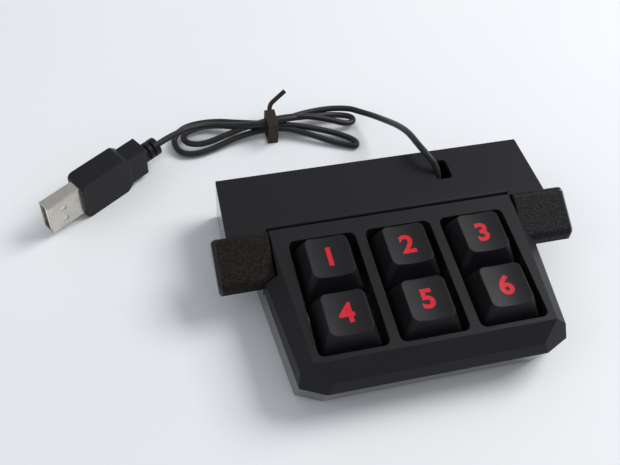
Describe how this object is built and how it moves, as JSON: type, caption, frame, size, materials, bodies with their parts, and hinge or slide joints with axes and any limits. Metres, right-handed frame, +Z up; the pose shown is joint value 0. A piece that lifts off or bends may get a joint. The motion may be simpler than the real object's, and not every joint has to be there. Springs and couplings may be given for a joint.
{
  "type": "numeric keypad",
  "caption": "Compact numeric keypad: sprung keys in a bevelled housing, grained side arms, a flat-topped rear housing and a captive USB lead folded in a tied hank.",
  "frame": {"origin": "on the table under the middle of the housing, measured without the lead and what is on it", "axes": "+X to the right across the keys, +Y to the rear housing, +Z up"},
  "size_m": [0.1594, 0.1167, 0.0239],
  "materials": {
    "satin_black": "satin",
    "gloss_black": "polished",
    "grained_black": "leather-like grain",
    "plate_steel": "brushed",
    "board_green": "solder mask",
    "component_black": "matte",
    "header_white": "matte",
    "wire_grey": "matte",
    "cord_rubber": "matte",
    "screw_steel": "zinc",
    "foot_rubber": "matte",
    "contact_brass": "gold flash",
    "cord_black": "satin",
    "tie_brown": "satin",
    "plug_black": "satin",
    "plug_metal": "nickel",
    "tongue_white": "matte",
    "keycap_grey": "fine texture",
    "stem_brown": "matte",
    "switch_black": "matte",
    "spring_steel": "plain"
  },
  "bodies": {
    "housing": {"top_housing": "satin_black", "bottom_housing": "gloss_black", "rear_cover": "satin_black", "left_arm": "grained_black", "right_arm": "grained_black", "left_arm_cap": "gloss_black", "right_arm_cap": "gloss_black", "switch_plate": "plate_steel", "circuit_board": "board_green", "controller_chip": "component_black", "board_diodes": "component_black", "cable_header": "header_white", "lead_wires": "wire_grey", "cord_clamp": "cord_rubber", "housing_screws": "screw_steel", "board_screws": "screw_steel", "rubber_feet": "foot_rubber", "switch_contacts": "contact_brass", "switch_base_1": "switch_black", "switch_cover_1": "switch_black", "switch_spring_1": "spring_steel", "switch_base_2": "switch_black", "switch_cover_2": "switch_black", "switch_spring_2": "spring_steel", "switch_base_3": "switch_black", "switch_cover_3": "switch_black", "switch_spring_3": "spring_steel", "switch_base_4": "switch_black", "switch_cover_4": "switch_black", "switch_spring_4": "spring_steel", "switch_base_5": "switch_black", "switch_cover_5": "switch_black", "switch_spring_5": "spring_steel", "switch_base_6": "switch_black", "switch_cover_6": "switch_black", "switch_spring_6": "spring_steel", "usb_cord": "cord_black", "usb_cord_hank": "cord_black", "usb_cord_end": "cord_black", "cable_tie": "tie_brown", "plug_body": "plug_black", "plug_shell": "plug_metal", "plug_tongue": "tongue_white", "plug_contacts": "contact_brass"},
    "key_1": {"keycap_1": "keycap_grey", "key_stem_1": "stem_brown"},
    "key_2": {"keycap_2": "keycap_grey", "key_stem_2": "stem_brown"},
    "key_3": {"keycap_3": "keycap_grey", "key_stem_3": "stem_brown"},
    "key_4": {"keycap_4": "keycap_grey", "key_stem_4": "stem_brown"},
    "key_5": {"keycap_5": "keycap_grey", "key_stem_5": "stem_brown"},
    "key_6": {"keycap_6": "keycap_grey", "key_stem_6": "stem_brown"}
  },
  "joints": [
    {"name": "key_press_1", "type": "slide", "parent": "housing", "child": "key_1", "axis": [0, 0, -1], "range_m": [0, 0.004], "stiffness_N_per_m": 75, "springref_m": -0.004, "deforming": ["switch_spring_1"]},
    {"name": "key_press_2", "type": "slide", "parent": "housing", "child": "key_2", "axis": [0, 0, -1], "range_m": [0, 0.004], "stiffness_N_per_m": 75, "springref_m": -0.004, "deforming": ["switch_spring_2"]},
    {"name": "key_press_3", "type": "slide", "parent": "housing", "child": "key_3", "axis": [0, 0, -1], "range_m": [0, 0.004], "stiffness_N_per_m": 75, "springref_m": -0.004, "deforming": ["switch_spring_3"]},
    {"name": "key_press_4", "type": "slide", "parent": "housing", "child": "key_4", "axis": [0, 0, -1], "range_m": [0, 0.004], "stiffness_N_per_m": 75, "springref_m": -0.004, "deforming": ["switch_spring_4"]},
    {"name": "key_press_5", "type": "slide", "parent": "housing", "child": "key_5", "axis": [0, 0, -1], "range_m": [0, 0.004], "stiffness_N_per_m": 75, "springref_m": -0.004, "deforming": ["switch_spring_5"]},
    {"name": "key_press_6", "type": "slide", "parent": "housing", "child": "key_6", "axis": [0, 0, -1], "range_m": [0, 0.004], "stiffness_N_per_m": 75, "springref_m": -0.004, "deforming": ["switch_spring_6"]}
  ]
}
